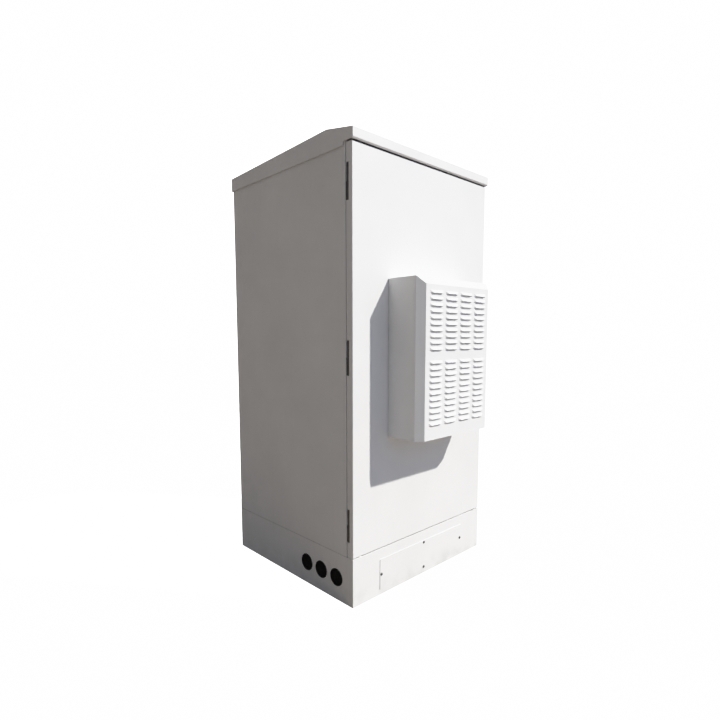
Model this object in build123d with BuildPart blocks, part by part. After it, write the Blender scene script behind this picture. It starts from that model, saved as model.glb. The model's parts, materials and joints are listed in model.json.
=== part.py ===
"""Outdoor equipment cabinet on a plinth, with a cooling unit carried on its door."""
from build123d import *
import os

os.makedirs("parts", exist_ok=True)

# Whole cabinet, in millimetres: x across, y from front to back, z up from the ground.
cabinet_width = 800
cabinet_depth = 750
plinth_height = 180
body_height = 1440
overrun = 6

# Plinth
plinth_sheet = 2
plinth_top_flange = 40
plinth_bottom_flange = 50
anchor_inset_x = 30
anchor_inset_y = 75
anchor_hole_radius = 7
cable_hole_radius = 29
cable_hole_height = 86
cable_hole_first = 89
cable_hole_pitch = 86.5
cable_hole_count = 3
grommet_lip = 4
grommet_lip_height = 3
cover_width = 520
cover_height = 118
cover_base = 22
cover_sheet = 2
cover_overlap_x = 20
cover_overlap_z = 18
cover_screw_inset = 7

# Screws
screw_head_radius = 5
screw_head_height = 3
screw_head_sides = 6

# Body sheet work
floor_sheet = 2
panel_sheet = 1.5
front_setback = 33
front_flange = 40
front_lip = 16
rear_flange = 30
header_height = 40
sill_height = 40
top_sheet = 1.5
back_screw_inset = 14
back_screw_rows = 5

# Cable entry in the floor
gland_cut_width = 300
gland_cut_depth = 140
gland_cut_back = 120
gland_overlap = 20
gland_sheet = 2
gland_length = 100
gland_width = 50
gland_columns = 2
gland_pitch = 140

# Roof
roof_overhang = 5
roof_front_overhang = 9
roof_sheet = 2
roof_skirt_drop = 17
roof_front_skirt_drop = 4
roof_front_rise = 32
roof_ridge_rise = 58
roof_back_rise = 36
roof_ridge_setback = 123
roof_notch_depth = 39
roof_hem_radius = 6
roof_hem_depth = 8
bearer_sheet = 3
bearer_spacing = 500
bearer_end_inset = 60

# Door
door_sheet = 1.5
door_depth = 28
door_bottom_gap = 2
door_top_gap = 8
door_return = 35
door_bend_radius = 2.5
liner_sheet = 1.5
liner_margin = 33
liner_flange = 15
liner_depth = 17
gasket_margin = 18
gasket_width = 14
gasket_gap = 0.3

# Door hinges
hinge_inset = 5
hinge_setback = 8
hinge_barrel_radius = 4.5
hinge_pin_radius = 2.5
hinge_running_fit = 0.05
hinge_knuckle = 60
hinge_knuckle_gap = 0.4
hinge_bottom_inset = 115
hinge_top_inset = 125
hinge_leaf = 2.5
hinge_leaf_reach = 23
hinge_plate_width = 12
hinge_arm_half = 3
hinge_notch_room = 8
hinge_notch_width = 12
hinge_notch_end = 1.5

# Door handle and its locking bars
handle_inset = 75
handle_height_share = 0.497
spindle_radius = 6
spindle_fit = 0.05
spindle_room = 3
base_width = 46
base_height = 130
base_depth = 12
base_drop = 22
lever_tip_clearance = 17
lever_root = 24
lever_tip = 16
lever_thickness = 11
lever_stand = 9
hub_radius = 14
hub_gap = 0.4
cam_gap = 1.5
cam_sheet = 3
cam_half_height = 13
cam_half_width = 22
pin_orbit = 16
pin_swing = 45
pin_radius = 3
pin_length = 6.5
bar_gap = 1
bar_thickness = 6
bar_width = 18
bar_offset = 14
bar_yoke_margin = 13
bar_rest_clearance = 8
yoke_room = 0.8
guide_wall = 3
guide_height = 24
guide_fit = 0.5
guide_near_inset = 110
guide_far_inset = 36

# Cooling unit, outdoor half
ac_width = 440
ac_base = 602
ac_height = 577
ac_wall_depth = 126
ac_bevel_depth = 25
ac_side_bevel = 24.5
ac_top_bevel = 27
ac_sheet = 1.5
ac_rear_gap = 2
louvre_columns = 4
louvre_side_margin = 15.5
louvre_column_gap = 14
louvre_pitch = 22
louvre_height = 10
louvre_depth = 6
louvre_taper = 13
louvre_upper_rows = 10
louvre_lower_rows = 11
louvre_top_inset = 52
louvre_band = 48
chassis_sheet = 2
chassis_flange = 24
shelf_depth = 118
ac_screw_inset = 60
divider_height = 295
divider_sheet = 1.5
divider_front_gap = 10
coil_side_gap = 36.5
coil_height = 220
coil_depth = 34
coil_front_gap = 8
coil_plate = 2
fin_pitch = 40
fin_sheet = 3
tube_radius = 5
tube_rows = 3
outdoor_fan_side_gap = 14.5
outdoor_fan_middle_gap = 52
outdoor_fan_depth = 40
outdoor_fan_front_gap = 12
outdoor_fan_base_gap = 28
outdoor_fan_top_gap = 29.5
fan_rim = 6
fan_tip_gap = 3
fan_hub_radius = 34
fan_shaft_radius = 4
fan_running_fit = 0.05
fan_strut = 8
fan_back_plate = 4
fan_rotor_gap = 3
fan_blade_sheet = 2
fan_blades = 7
fan_pitch = 58
fan_blade_share = 1.3
fan_root_share = 0.8
fan_post = 10
compressor_radius = 54
compressor_height = 205
compressor_side_gap = 22.5
compressor_dome = 22
pipe_radius = 5
pipe_rise = 150
pipe_offset = 20

# Cooling unit, indoor half
aperture_margin_x = 30
aperture_margin_z = 48
case_margin_x = 15
case_margin_z = 29
case_depth = 72
case_sheet = 1.5
case_slots = 7
case_slot_margin = 55
case_slot_height = 7
case_slot_pitch = 19
case_slot_gap = 30
evaporator_height = 190
evaporator_depth = 34
evaporator_base_gap = 18
evaporator_front_gap = 6
indoor_fan_size = 190
indoor_fan_depth = 32
indoor_fan_top_gap = 22
controller_width = 70
controller_height = 110
controller_depth = 28
controller_gap = 16

# Equipment rack
rack_opening = 451
rail_hole_offset = 7.05
rail_width = 36.5
rail_leg = 40
rail_sheet = 2
rail_end_gap = 20
rail_front_setback = 125
rail_rear_setback = 75
rail_hole = 9.5
rail_hole_pitch = 88.9
rail_hole_count = 15
bracket_sheet = 2
bracket_height = 36
bracket_end_inset = 78
shelf_share = 0.27
rack_shelf_sheet = 2
rack_shelf_lip = 25
shelf_slot_length = 110
shelf_slot_width = 10
shelf_slot_columns = 3
shelf_slot_rows = 6
shelf_slot_pitch_x = 150
shelf_slot_pitch_y = 70

# Earth bar
bar_length = 240
bar_height = 30
bar_stock = 6
bar_share = 0.165
insulator_radius = 12
insulator_length = 30
insulator_spacing = 180
bar_hole_radius = 4.5
bar_holes = 4
bar_hole_pitch = 38

# Positions that follow from the sizes above
half_width = cabinet_width / 2
front_y = -cabinet_depth / 2
back_y = cabinet_depth / 2
body_base = plinth_height + floor_sheet
body_top = plinth_height + body_height
body_front = front_y + front_setback
opening_half = half_width - front_flange
opening_base = body_base + sill_height
opening_top = body_top - header_height
panel_back = back_y - panel_sheet
inner_half = half_width - panel_sheet
door_back = front_y + door_depth
door_base = body_base + door_bottom_gap
door_top = body_top - door_top_gap
liner_half = half_width - liner_margin
liner_base = door_base + liner_margin
liner_top = door_top - liner_margin
pan_half = liner_half - liner_flange
pan_base = liner_base + liner_flange
pan_top = liner_top - liner_flange
liner_back = door_back + liner_depth
hinge_x = -half_width + hinge_inset
hinge_y = body_front - hinge_setback
hinge_levels = (door_base + hinge_bottom_inset, (door_base + door_top) / 2, door_top - hinge_top_inset)
handle_x = half_width - handle_inset
spindle_cut = 2 * (spindle_radius + spindle_room)
handle_z = door_base + (door_top - door_base) * handle_height_share
ac_half = ac_width / 2
ac_top = ac_base + ac_height
lever_length = handle_x - ac_half - lever_tip_clearance
fold_half = ac_half - ac_sheet - chassis_sheet
coil_half = fold_half - coil_side_gap
compressor_shift = fold_half - compressor_radius - compressor_side_gap
outdoor_fan_room = 2 * (fold_half - compressor_radius) - compressor_side_gap
outdoor_fan_room_x = outdoor_fan_room - outdoor_fan_side_gap - outdoor_fan_middle_gap
outdoor_fan_room_z = divider_height - ac_sheet - outdoor_fan_base_gap - outdoor_fan_top_gap
outdoor_fan_size = min(outdoor_fan_room_x, outdoor_fan_room_z)
outdoor_fan_shift = outdoor_fan_side_gap + outdoor_fan_size / 2 - fold_half
louvre_column_pitch = (ac_width - 2 * (ac_side_bevel + louvre_side_margin)) / louvre_columns
louvre_length = louvre_column_pitch - louvre_column_gap
ac_front = front_y - ac_wall_depth - ac_bevel_depth
ac_rear = front_y - ac_rear_gap
chassis_front = front_y - chassis_sheet
aperture_half = ac_half - aperture_margin_x
aperture_base = ac_base + aperture_margin_z
aperture_top = ac_top - aperture_margin_z
case_half = ac_half - case_margin_x
case_base = ac_base + case_margin_z
case_top = ac_top - case_margin_z
case_back = liner_back + case_depth
case_slot_length = case_half - case_slot_margin
case_slot_column_pitch = case_slot_length + case_slot_gap
rail_outer = rack_opening / 2 + rail_width
rack_hole_spacing = rack_opening + 2 * rail_hole_offset
rail_front = front_y + rail_front_setback
rail_rear = back_y - rail_rear_setback


def front_plane(y):
    """Upright plane across the cabinet at depth y, facing the front."""
    return Plane.XZ.offset(-y)


def side_plane(x):
    """Upright plane along the cabinet at x, facing right."""
    return Plane.YZ.offset(x)


def level(z):
    """Flat plane at height z."""
    return Plane.XY.offset(z)


def span(low_x, high_x, low_y, high_y, mode=Mode.ADD):
    """Rectangle between two limits each way in the open sketch."""
    with Locations(((low_x + high_x) / 2, (low_y + high_y) / 2)):
        Rectangle(high_x - low_x, high_y - low_y, mode=mode)


def folded(points, sheet, side):
    """Outline of a folded sheet whose outer face follows the points."""
    with BuildLine() as outline_edges:
        path = Polyline(*points)
        offset(path, amount=sheet, side=side, kind=Kind.INTERSECTION)
    make_face(outline_edges.edges())


def save(builder, name):
    """Label a finished piece and write it."""
    builder.part.label = name
    export_step(builder.part, "parts/" + name + ".step")


# Plinth: two channel sides between a flanged front and back
cable_holes = []
for number in range(cable_hole_count):
    cable_holes.append((front_y + cable_hole_first + number * cable_hole_pitch, cable_hole_height))

for sign, side, name in ((-1, Side.LEFT, "plinth_left_side"), (1, Side.RIGHT, "plinth_right_side")):
    with BuildPart() as plinth_side:
        with BuildSketch(front_plane(back_y - plinth_sheet)):
            top_edge = sign * (half_width - plinth_top_flange)
            bottom_edge = sign * (half_width - plinth_bottom_flange)
            corner = sign * half_width
            outline = [(top_edge, plinth_height), (corner, plinth_height), (corner, 0), (bottom_edge, 0)]
            folded(outline, plinth_sheet, side)
        extrude(amount=cabinet_depth - 2 * plinth_sheet)
        with BuildSketch(level(0)):
            with Locations((sign * (half_width - anchor_inset_x), 0)):
                with GridLocations(0, cabinet_depth - 2 * anchor_inset_y, 1, 2):
                    Circle(anchor_hole_radius)
        extrude(amount=plinth_sheet, mode=Mode.SUBTRACT)
        if sign < 0:
            with BuildSketch(side_plane(-half_width)):
                with Locations(*cable_holes):
                    Circle(cable_hole_radius)
            extrude(amount=plinth_sheet, mode=Mode.SUBTRACT)
    save(plinth_side, name)

cover_middle = cover_base + cover_height / 2
cover_screws = [
    (-cover_width / 2 + cover_screw_inset, cover_middle),
    (cover_width / 2 - cover_screw_inset, cover_middle),
    (0, cover_base + cover_height - cover_screw_inset),
    (0, cover_base + cover_screw_inset),
]
flange_half = half_width - plinth_bottom_flange
for sign, side, name in ((-1, Side.LEFT, "plinth_front"), (1, Side.RIGHT, "plinth_back")):
    with BuildPart() as plinth_end:
        face = sign * cabinet_depth / 2
        with BuildSketch(side_plane(-flange_half)):
            top_edge = face - sign * plinth_top_flange
            bottom_edge = face - sign * plinth_bottom_flange
            outline = [(top_edge, plinth_height), (face, plinth_height), (face, 0), (bottom_edge, 0)]
            folded(outline, plinth_sheet, side)
        extrude(amount=2 * flange_half)
        with BuildSketch(front_plane(max(face, face - sign * plinth_sheet))):
            span(-half_width, half_width, 0, plinth_height)
        extrude(amount=plinth_sheet)
        if sign < 0:
            with BuildSketch(front_plane(front_y + plinth_sheet)):
                window_half = cover_width / 2 - cover_overlap_x
                window_base = cover_base + cover_overlap_z
                span(-window_half, window_half, window_base, cover_base + cover_height - cover_overlap_z)
            extrude(amount=plinth_sheet, mode=Mode.SUBTRACT)
    save(plinth_end, name)

with BuildPart() as plinth_cover:
    with BuildSketch(front_plane(front_y)):
        span(-cover_width / 2, cover_width / 2, cover_base, cover_base + cover_height)
    extrude(amount=cover_sheet)
save(plinth_cover, "plinth_cover")

with BuildPart() as plinth_cover_screws:
    with BuildSketch(front_plane(front_y - cover_sheet)):
        with Locations(*cover_screws):
            RegularPolygon(screw_head_radius, screw_head_sides)
    extrude(amount=screw_head_height)
save(plinth_cover_screws, "plinth_cover_screws")

with BuildPart() as cable_grommets:
    with BuildSketch(side_plane(-half_width)):
        with Locations(*cable_holes):
            Circle(cable_hole_radius + grommet_lip)
    extrude(amount=-grommet_lip_height)
    with BuildSketch(side_plane(-half_width)):
        with Locations(*cable_holes):
            Circle(cable_hole_radius)
    extrude(amount=plinth_sheet + grommet_lip_height)
save(cable_grommets, "cable_grommets")

# Floor with its cable entry plate
with BuildPart() as floor_plate:
    with BuildSketch(level(plinth_height)):
        span(-half_width, half_width, body_front, back_y)
        with Locations((0, gland_cut_back)):
            Rectangle(gland_cut_width, gland_cut_depth, mode=Mode.SUBTRACT)
    extrude(amount=floor_sheet)
save(floor_plate, "floor_plate")

with BuildPart() as gland_plate:
    with BuildSketch(level(body_base)):
        with Locations((0, gland_cut_back)):
            Rectangle(gland_cut_width + 2 * gland_overlap, gland_cut_depth + 2 * gland_overlap)
            with GridLocations(gland_pitch, 0, gland_columns, 1):
                Rectangle(gland_length, gland_width, mode=Mode.SUBTRACT)
    extrude(amount=gland_sheet)
save(gland_plate, "gland_plate")

with BuildPart() as gland_grommets:
    with BuildSketch(level(body_base)):
        with Locations((0, gland_cut_back)):
            with GridLocations(gland_pitch, 0, gland_columns, 1):
                Rectangle(gland_length, gland_width)
    extrude(amount=gland_sheet)
    with BuildSketch(level(body_base + gland_sheet)):
        with Locations((0, gland_cut_back)):
            with GridLocations(gland_pitch, 0, gland_columns, 1):
                Rectangle(gland_length + 2 * grommet_lip, gland_width + 2 * grommet_lip)
                Rectangle(gland_length - 2 * grommet_lip, gland_width - 2 * grommet_lip, mode=Mode.SUBTRACT)
    extrude(amount=grommet_lip_height)
save(gland_grommets, "gland_grommets")

# Body: folded side panels, back panel, header, sill and top plate
for sign, side, name in ((-1, Side.RIGHT, "left_side_panel"), (1, Side.LEFT, "right_side_panel")):
    with BuildPart() as side_panel:
        with BuildSketch(level(body_base)):
            outline = [
                (sign * opening_half, body_front + front_lip),
                (sign * opening_half, body_front),
                (sign * half_width, body_front),
                (sign * half_width, panel_back),
                (sign * (half_width - rear_flange), panel_back),
            ]
            folded(outline, panel_sheet, side)
        extrude(amount=body_top - body_base)
    save(side_panel, name)

back_screws = []
back_screw_step = (body_top - body_base - 2 * back_screw_inset) / (back_screw_rows - 1)
for row in range(back_screw_rows):
    for sign in (-1, 1):
        row_z = body_base + back_screw_inset + row * back_screw_step
        back_screws.append((sign * (half_width - back_screw_inset), row_z))

with BuildPart() as back_panel:
    with BuildSketch(front_plane(back_y)):
        span(-half_width, half_width, body_base, body_top)
    extrude(amount=panel_sheet)
save(back_panel, "back_panel")

with BuildPart() as back_panel_screws:
    with BuildSketch(front_plane(back_y)):
        with Locations(*back_screws):
            RegularPolygon(screw_head_radius, screw_head_sides)
    extrude(amount=-screw_head_height)
save(back_panel_screws, "back_panel_screws")

for low, high, lip_z, side, name in (
    (opening_top, body_top, opening_top, Side.RIGHT, "header"),
    (body_base, opening_base, opening_base, Side.LEFT, "sill"),
):
    far_z = low + high - lip_z
    with BuildPart() as cross_member:
        with BuildSketch(side_plane(-opening_half)):
            lip_y = body_front + front_lip
            outline = [(lip_y, lip_z), (body_front, lip_z), (body_front, far_z), (lip_y, far_z)]
            folded(outline, panel_sheet, side)
        extrude(amount=2 * opening_half)
    save(cross_member, name)

with BuildPart() as top_plate:
    with BuildSketch(level(body_top)):
        span(-half_width, half_width, body_front, back_y)
    extrude(amount=top_sheet)
save(top_plate, "top_plate")

# Roof cap: a folded shell with its ridge near the front
roof_half = half_width + roof_overhang
roof_front = front_y - roof_front_overhang
roof_back = back_y + roof_overhang
roof_base = body_top - roof_skirt_drop
roof_ridge = front_y + roof_ridge_setback
roof_notch = front_y + roof_notch_depth
roof_front_base = body_top - roof_front_skirt_drop
roof_outline = [
    (roof_front, roof_front_base),
    (roof_front, body_top + roof_front_rise),
    (roof_ridge, body_top + roof_ridge_rise),
    (roof_back, body_top + roof_back_rise),
    (roof_back, roof_base),
    (roof_notch, roof_base),
    (roof_notch, roof_front_base),
]


def roof_profile(inset):
    """Side outline of the roof with its front edge rolled under, drawn in by the inset."""
    Polygon(*roof_outline, align=None)
    front_edge = vertices().sort_by(Axis.X)[:2].sort_by(Axis.Y)[0]
    fillet(front_edge, radius=roof_hem_radius)
    if inset:
        offset(amount=-inset, kind=Kind.INTERSECTION, mode=Mode.REPLACE)


with BuildPart() as roof_cap:
    with BuildSketch(side_plane(-roof_half)):
        roof_profile(0)
    extrude(amount=2 * roof_half)
    with BuildSketch(side_plane(-roof_half + roof_sheet)):
        roof_profile(roof_sheet)
        open_top = roof_front_base + 2 * roof_sheet
        span(roof_front + roof_hem_depth, roof_back - roof_sheet, roof_base - overrun, open_top)
    extrude(amount=2 * (roof_half - roof_sheet), mode=Mode.SUBTRACT)
save(roof_cap, "roof_cap")

with BuildPart() as roof_bearers:
    for sign in (-1, 1):
        with BuildSketch(side_plane(sign * bearer_spacing / 2)):
            roof_profile(roof_sheet)
            bearer_floor = body_top + top_sheet
            span(roof_front, roof_back, roof_base - overrun, bearer_floor, mode=Mode.SUBTRACT)
            bearer_front = body_front + bearer_end_inset
            span(roof_front - overrun, bearer_front, roof_base, bearer_floor + roof_ridge_rise, mode=Mode.SUBTRACT)
            bearer_back = back_y - bearer_end_inset
            span(bearer_back, roof_back + overrun, roof_base, bearer_floor + roof_ridge_rise, mode=Mode.SUBTRACT)
        extrude(amount=bearer_sheet)
save(roof_bearers, "roof_bearers")

# Lift-off hinges: the frame leaf carries the lower knuckle and its pin, the door leaf the upper one
with BuildPart() as hinge_frame_leaves:
    for height in hinge_levels:
        with BuildSketch(level(height - hinge_knuckle)):
            with Locations((hinge_x, hinge_y)):
                Circle(hinge_barrel_radius)
            span(hinge_x - hinge_arm_half, hinge_x + hinge_arm_half, hinge_y, body_front)
            span(hinge_x - hinge_arm_half, hinge_x + hinge_plate_width, body_front - hinge_leaf, body_front)
        extrude(amount=hinge_knuckle)
save(hinge_frame_leaves, "hinge_frame_leaves")

with BuildPart() as hinge_pins:
    for height in hinge_levels:
        with BuildSketch(level(height)):
            with Locations((hinge_x, hinge_y)):
                Circle(hinge_pin_radius)
        extrude(amount=hinge_knuckle)
save(hinge_pins, "hinge_pins")

leaf_x = -half_width + door_sheet
leaf_front = hinge_y - hinge_leaf_reach
with BuildPart() as hinge_door_leaves:
    for height in hinge_levels:
        with BuildSketch(level(height + hinge_knuckle_gap)):
            with Locations((hinge_x, hinge_y)):
                Circle(hinge_barrel_radius)
            span(leaf_x, leaf_x + hinge_leaf, leaf_front, hinge_y)
            with Locations((hinge_x, hinge_y)):
                Circle(hinge_pin_radius + hinge_running_fit, mode=Mode.SUBTRACT)
        extrude(amount=hinge_knuckle - hinge_knuckle_gap)
save(hinge_door_leaves, "hinge_door_leaves")

# Door: folded outer skin, insulation, inner liner and seal
with BuildPart() as door_skin:
    with BuildSketch(front_plane(door_back)):
        span(-half_width, half_width, door_base, door_top)
    extrude(amount=door_depth)
    fillet(door_skin.faces().sort_by(Axis.Y)[0].edges(), radius=door_bend_radius)
    with BuildSketch(front_plane(door_back - door_sheet)):
        span(-inner_half, inner_half, door_base + door_sheet, door_top - door_sheet)
    extrude(amount=door_depth - 2 * door_sheet, mode=Mode.SUBTRACT)
    with BuildSketch(front_plane(door_back)):
        return_half = half_width - door_return
        span(-return_half, return_half, door_base + door_return, door_top - door_return)
    extrude(amount=door_sheet, mode=Mode.SUBTRACT)
    with BuildSketch(front_plane(front_y + door_sheet)):
        span(-aperture_half, aperture_half, aperture_base, aperture_top)
        with Locations((handle_x, handle_z)):
            Rectangle(spindle_cut, spindle_cut)
    extrude(amount=door_sheet, mode=Mode.SUBTRACT)
    for height in hinge_levels:
        with BuildSketch(level(height - hinge_knuckle - hinge_notch_end)):
            span(-half_width - overrun, hinge_x + hinge_notch_width, hinge_y - hinge_notch_room, door_back)
        extrude(amount=2 * (hinge_knuckle + hinge_notch_end), mode=Mode.SUBTRACT)
save(door_skin, "door_skin")

with BuildPart() as door_liner:
    with BuildSketch(front_plane(door_back + liner_sheet)):
        span(-liner_half, liner_half, liner_base, liner_top)
    extrude(amount=liner_sheet)
    with BuildSketch(front_plane(liner_back)):
        span(-pan_half, pan_half, pan_base, pan_top)
    extrude(amount=liner_depth - liner_sheet)
    with BuildSketch(front_plane(liner_back - liner_sheet)):
        hollow_half = pan_half - liner_sheet
        span(-hollow_half, hollow_half, pan_base + liner_sheet, pan_top - liner_sheet)
    extrude(amount=liner_depth, mode=Mode.SUBTRACT)
    with BuildSketch(front_plane(liner_back)):
        span(-aperture_half, aperture_half, aperture_base, aperture_top)
        with Locations((handle_x, handle_z)):
            Rectangle(spindle_cut, spindle_cut)
    extrude(amount=liner_sheet, mode=Mode.SUBTRACT)
save(door_liner, "door_liner")

with BuildPart() as door_insulation:
    with BuildSketch(front_plane(liner_back - liner_sheet)):
        span(-hollow_half, hollow_half, pan_base + liner_sheet, pan_top - liner_sheet)
        span(-aperture_half, aperture_half, aperture_base, aperture_top, mode=Mode.SUBTRACT)
        with Locations((handle_x, handle_z)):
            Rectangle(spindle_cut, spindle_cut, mode=Mode.SUBTRACT)
    extrude(amount=liner_back - liner_sheet - front_y - door_sheet)
save(door_insulation, "door_insulation")

with BuildPart() as door_gasket:
    with BuildSketch(front_plane(body_front - gasket_gap)):
        for margin, mode in ((gasket_margin, Mode.ADD), (gasket_margin + gasket_width, Mode.SUBTRACT)):
            ring_half = half_width - margin
            span(-ring_half, ring_half, door_base + margin, door_top - margin, mode=mode)
    extrude(amount=body_front - gasket_gap - door_back)
save(door_gasket, "door_gasket")

# Handle, cam and the two locking bars
base_front = front_y - base_depth
with BuildPart() as handle_base:
    with BuildSketch(front_plane(front_y)):
        with Locations((handle_x, handle_z - base_drop)):
            RectangleRounded(base_width, base_height, base_width / 3)
        with Locations((handle_x, handle_z)):
            Circle(spindle_radius + spindle_fit, mode=Mode.SUBTRACT)
    extrude(amount=base_depth)
    chamfer(handle_base.faces().sort_by(Axis.Y)[0].outer_wire().edges(), length=base_depth / 3)
save(handle_base, "handle_base")

hub_back = base_front - hub_gap
lever_back = hub_back - lever_stand
cam_front = liner_back + cam_gap
cam_back = cam_front + cam_sheet
with BuildPart() as handle_lever:
    with BuildSketch(front_plane(hub_back)):
        with Locations((handle_x, handle_z)):
            Circle(hub_radius)
    extrude(amount=lever_stand + lever_thickness)
    with BuildSketch(front_plane(lever_back)):
        with BuildLine():
            tip_x = handle_x - lever_length
            Polyline(
                (handle_x, handle_z + lever_root / 2),
                (tip_x, handle_z + lever_tip / 2),
                (tip_x, handle_z - lever_tip / 2),
                (handle_x, handle_z - lever_root / 2),
                close=True,
            )
        make_face()
    extrude(amount=lever_thickness)
    chamfer(handle_lever.faces().sort_by(Axis.Y)[0].edges(), length=lever_thickness / 4)
    with BuildSketch(front_plane(cam_back)):
        with Locations((handle_x, handle_z)):
            Circle(spindle_radius)
    extrude(amount=cam_back - hub_back)
save(handle_lever, "handle_lever")

with BuildPart() as lock_cam:
    with BuildSketch(front_plane(cam_back)):
        with Locations((handle_x, handle_z)):
            Rectangle(2 * cam_half_width, 2 * cam_half_height, rotation=-pin_swing)
            Circle(spindle_radius, mode=Mode.SUBTRACT)
    extrude(amount=cam_sheet)
    with BuildSketch(front_plane(cam_back)):
        with Locations((handle_x, handle_z)):
            with PolarLocations(pin_orbit, 2, start_angle=-pin_swing):
                Circle(pin_radius)
    extrude(amount=-pin_length)
save(lock_cam, "lock_cam")

pin_line = Vector(pin_orbit, 0).rotate(Axis.Z, pin_swing)
pin_rise = pin_line.Y
bar_front = cam_back + bar_gap
bar_back = bar_front + bar_thickness
for sign, end, name in ((1, opening_top, "upper_bolt"), (-1, opening_base, "lower_bolt")):
    bar_x = handle_x + sign * bar_offset
    pin_z = handle_z - sign * pin_rise
    tail = pin_z - sign * bar_yoke_margin
    tip = end - sign * bar_rest_clearance
    with BuildPart() as bolt:
        with BuildSketch(front_plane(bar_back)):
            span(bar_x - bar_width / 2, bar_x + bar_width / 2, min(tail, tip), max(tail, tip))
            slot_near = pin_line.X - pin_radius - yoke_room
            slot_far = pin_orbit + pin_radius + yoke_room
            slot_limits = (handle_x + sign * slot_near, handle_x + sign * slot_far)
            slot_half = pin_radius + yoke_room
            span(min(slot_limits), max(slot_limits), pin_z - slot_half, pin_z + slot_half, mode=Mode.SUBTRACT)
        extrude(amount=bar_thickness)
    save(bolt, name)

with BuildPart() as rod_guides:
    for sign, end in ((1, pan_top), (-1, pan_base)):
        bar_x = handle_x + sign * bar_offset
        for height in (handle_z + sign * guide_near_inset, end - sign * guide_far_inset):
            guide_half = bar_width / 2 + guide_fit + guide_wall
            with BuildSketch(level(height - guide_height / 2)):
                span(bar_x - guide_half, bar_x + guide_half, liner_back, bar_back + guide_fit + guide_wall)
                hole_half = bar_width / 2 + guide_fit
                span(bar_x - hole_half, bar_x + hole_half, bar_front - guide_fit, bar_back + guide_fit, Mode.SUBTRACT)
            extrude(amount=guide_height)
save(rod_guides, "rod_guides")

# Cooling unit cover: bevelled box with pressed louvres that open downwards
def cover_form(inset, mode):
    """Bevelled box of the cover, drawn in by the sheet thickness for its hollow."""
    wall_front = front_y - ac_wall_depth
    base = ac_base + inset
    with BuildSketch(front_plane(ac_rear)) as profile:
        span(-ac_half + inset, ac_half - inset, base, ac_top - inset)
    extrude(profile.sketch, amount=ac_rear - wall_front, mode=mode)
    with BuildSketch(front_plane(wall_front)) as bevel_root:
        span(-ac_half + inset, ac_half - inset, base, ac_top - inset)
    with BuildSketch(front_plane(ac_front + inset)) as bevel_face:
        face_half = ac_half - ac_side_bevel - inset
        span(-face_half, face_half, base, ac_top - ac_top_bevel - inset)
    loft([bevel_root.sketch, bevel_face.sketch], mode=mode)


louvre_levels = []
louvre_top = ac_top - louvre_top_inset
for row in range(louvre_upper_rows):
    louvre_levels.append(louvre_top - row * louvre_pitch)
lower_top = louvre_levels[-1] - louvre_band
for row in range(louvre_lower_rows):
    louvre_levels.append(lower_top - row * louvre_pitch)
louvre_starts = []
for column in range(louvre_columns):
    louvre_starts.append((column - (louvre_columns - 1) / 2) * louvre_column_pitch - louvre_length / 2)

hood_drop = louvre_height / 2
hood_skin = ac_sheet * louvre_height / louvre_depth
hood_cheek = ac_sheet * louvre_taper / louvre_depth
hood_lip = ac_front - louvre_depth
with BuildPart() as louvre_hoods:
    for start in louvre_starts:
        with BuildSketch(side_plane(start)):
            for row_z in louvre_levels:
                bottom = row_z - hood_drop
                Polygon((ac_front, row_z + hood_drop), (hood_lip, bottom), (ac_front, bottom), align=None)
        extrude(amount=louvre_length)
    with BuildSketch(level(ac_base)):
        for start in louvre_starts:
            end = start + louvre_length
            Polygon(
                (start, ac_front),
                (start + louvre_taper, hood_lip),
                (end - louvre_taper, hood_lip),
                (end, ac_front),
                align=None,
            )
    extrude(amount=ac_height, mode=Mode.INTERSECT)

with BuildPart() as louvre_hollows:
    slot_back = ac_front + ac_sheet
    for start in louvre_starts:
        with BuildSketch(side_plane(start)):
            for row_z in louvre_levels:
                top = row_z + hood_drop - hood_skin
                bottom = row_z - hood_drop
                hollow = [(slot_back, top), (ac_front, top), (hood_lip + ac_sheet, bottom), (slot_back, bottom)]
                Polygon(*hollow, align=None)
        extrude(amount=louvre_length)
    with BuildSketch(level(ac_base)):
        for start in louvre_starts:
            near = start + hood_cheek
            far = start + louvre_length - hood_cheek
            Polygon(
                (near, slot_back),
                (near, ac_front),
                (near + louvre_taper, hood_lip),
                (far - louvre_taper, hood_lip),
                (far, ac_front),
                (far, slot_back),
                align=None,
            )
    extrude(amount=ac_height, mode=Mode.INTERSECT)

with BuildPart() as ac_cover:
    cover_form(0, Mode.ADD)
    cover_form(ac_sheet, Mode.SUBTRACT)
    add(louvre_hoods.part)
    add(louvre_hollows.part, mode=Mode.SUBTRACT)
save(ac_cover, "ac_cover")

chassis_half = ac_half - ac_sheet
chassis_base = ac_base + ac_sheet
chassis_top = ac_top - ac_sheet
with BuildPart() as ac_chassis:
    with BuildSketch(front_plane(front_y)):
        span(-chassis_half, chassis_half, chassis_base, chassis_top)
    extrude(amount=chassis_flange)
    with BuildSketch(front_plane(chassis_front)):
        span(-fold_half, fold_half, chassis_base + chassis_sheet, chassis_top - chassis_sheet)
    extrude(amount=chassis_flange, mode=Mode.SUBTRACT)
    with BuildSketch(front_plane(front_y)):
        span(-chassis_half, chassis_half, chassis_base, chassis_base + chassis_sheet)
    extrude(amount=shelf_depth)
save(ac_chassis, "ac_chassis")

screw_y = front_y - chassis_flange / 2
with BuildPart() as ac_cover_screws:
    for height, upward in ((ac_top, 1), (ac_base, -1)):
        with BuildSketch(level(height)):
            with Locations((0, screw_y)):
                with GridLocations(ac_width - 2 * ac_screw_inset, 0, 2, 1):
                    RegularPolygon(screw_head_radius, screw_head_sides)
        extrude(amount=upward * screw_head_height)
save(ac_cover_screws, "ac_cover_screws")

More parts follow.
